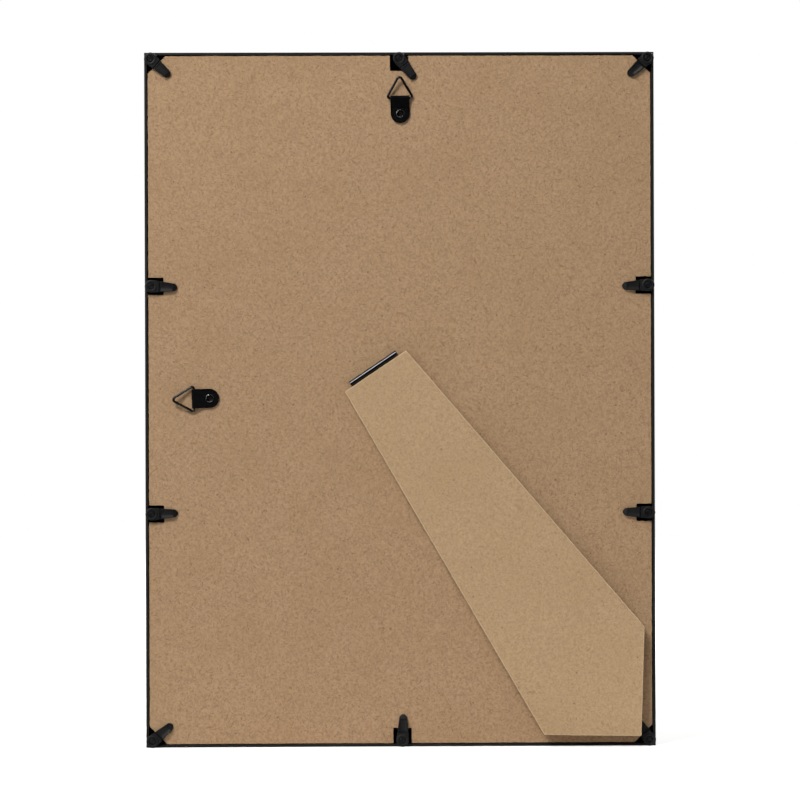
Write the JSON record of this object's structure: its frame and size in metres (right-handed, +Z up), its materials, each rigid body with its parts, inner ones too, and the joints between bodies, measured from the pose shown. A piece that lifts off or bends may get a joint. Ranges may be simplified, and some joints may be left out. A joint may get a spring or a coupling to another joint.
{
  "type": "easel back photo frame",
  "caption": "Upright photo frame with an easel back: black moulding, glazing, hardboard back held by turn clips, hinged strut leg, and rings for hanging upright or sideways.",
  "frame": {"origin": "middle of the moulding's flat bottom edge", "axes": "+Z up the frame, +X to the right seen from the back, -Y out of the back, +Y out of the picture side"},
  "size_m": [0.24, 0.0231, 0.327],
  "materials": {
    "black_moulding": "moulded black, satin",
    "clear_glazing": "clear, polished",
    "plain_paper": "matt, unprinted",
    "filler_board": "grey card",
    "panel_hardboard": "smooth pressed fibre face",
    "leg_hardboard": "smooth pressed fibre face, sawn edges",
    "black_clip_plastic": "moulded black, low gloss",
    "blackened_screw": "black oxide",
    "black_hanger_paint": "black gloss lacquer",
    "eyelet_steel": "black gloss lacquer, worn rim",
    "hinge_steel": "dull rolled steel"
  },
  "bodies": {
    "frame": {"frame_moulding": "black_moulding", "glazing_sheet": "clear_glazing", "picture_sheet": "plain_paper", "filler_card": "filler_board", "back_panel": "panel_hardboard", "turn_clip_screws": "blackened_screw", "leg_hinge_panel_leaf": "hinge_steel", "leg_hinge_pin": "hinge_steel", "portrait_hanger_strap": "black_hanger_paint", "portrait_hanger_rivet": "eyelet_steel", "landscape_hanger_strap": "black_hanger_paint", "landscape_hanger_rivet": "eyelet_steel"},
    "easel_leg": {"easel_leg": "leg_hardboard", "leg_hinge_leg_leaf": "hinge_steel"},
    "portrait_hanger_ring": {"portrait_hanger_ring": "black_hanger_paint"},
    "landscape_hanger_ring": {"landscape_hanger_ring": "black_hanger_paint"},
    "turn_clip_top_left": {"turn_clip_top_left": "black_clip_plastic"},
    "turn_clip_top_middle": {"turn_clip_top_middle": "black_clip_plastic"},
    "turn_clip_top_right": {"turn_clip_top_right": "black_clip_plastic"},
    "turn_clip_left_upper": {"turn_clip_left_upper": "black_clip_plastic"},
    "turn_clip_left_lower": {"turn_clip_left_lower": "black_clip_plastic"},
    "turn_clip_right_upper": {"turn_clip_right_upper": "black_clip_plastic"},
    "turn_clip_right_lower": {"turn_clip_right_lower": "black_clip_plastic"},
    "turn_clip_bottom_left": {"turn_clip_bottom_left": "black_clip_plastic"},
    "turn_clip_bottom_middle": {"turn_clip_bottom_middle": "black_clip_plastic"},
    "turn_clip_bottom_right": {"turn_clip_bottom_right": "black_clip_plastic"}
  },
  "joints": [
    {"name": "leg_swing", "type": "hinge", "parent": "frame", "child": "easel_leg", "pos_m": [-0.0125, -0.0091, 0.1781], "axis": [-0.83, 0, -0.5577], "range_deg": [-0.8, 30]},
    {"name": "portrait_ring_swing", "type": "hinge", "parent": "frame", "child": "portrait_hanger_ring", "pos_m": [0.0003, -0.00862, 0.3054], "axis": [0.9998, 0, 0.0192], "range_deg": [-10.3, 140]},
    {"name": "landscape_ring_swing", "type": "hinge", "parent": "frame", "child": "landscape_hanger_ring", "pos_m": [-0.097, -0.00862, 0.16405], "axis": [-0.0349, 0, 0.9994], "range_deg": [-10.3, 140]},
    {"name": "top_left_clip_turn", "type": "hinge", "parent": "frame", "child": "turn_clip_top_left", "pos_m": [-0.117, -0.00765, 0.324], "axis": [0, -1, 0], "continuous": true},
    {"name": "top_middle_clip_turn", "type": "hinge", "parent": "frame", "child": "turn_clip_top_middle", "pos_m": [0, -0.00765, 0.324], "axis": [0, -1, 0], "range_deg": [-10, 280]},
    {"name": "top_right_clip_turn", "type": "hinge", "parent": "frame", "child": "turn_clip_top_right", "pos_m": [0.117, -0.00765, 0.324], "axis": [0, -1, 0], "continuous": true},
    {"name": "left_upper_clip_turn", "type": "hinge", "parent": "frame", "child": "turn_clip_left_upper", "pos_m": [-0.117, -0.00765, 0.2171], "axis": [0, -1, 0], "continuous": true},
    {"name": "left_lower_clip_turn", "type": "hinge", "parent": "frame", "child": "turn_clip_left_lower", "pos_m": [-0.117, -0.00765, 0.1099], "axis": [0, -1, 0], "continuous": true},
    {"name": "right_upper_clip_turn", "type": "hinge", "parent": "frame", "child": "turn_clip_right_upper", "pos_m": [0.117, -0.00765, 0.2171], "axis": [0, -1, 0], "continuous": true},
    {"name": "right_lower_clip_turn", "type": "hinge", "parent": "frame", "child": "turn_clip_right_lower", "pos_m": [0.117, -0.00765, 0.1099], "axis": [0, -1, 0], "continuous": true},
    {"name": "bottom_left_clip_turn", "type": "hinge", "parent": "frame", "child": "turn_clip_bottom_left", "pos_m": [-0.117, -0.00765, 0.003], "axis": [0, -1, 0], "continuous": true},
    {"name": "bottom_middle_clip_turn", "type": "hinge", "parent": "frame", "child": "turn_clip_bottom_middle", "pos_m": [0.0006, -0.00765, 0.003], "axis": [0, -1, 0], "continuous": true},
    {"name": "bottom_right_clip_turn", "type": "hinge", "parent": "frame", "child": "turn_clip_bottom_right", "pos_m": [0.117, -0.00765, 0.003], "axis": [0, -1, 0], "continuous": true}
  ]
}
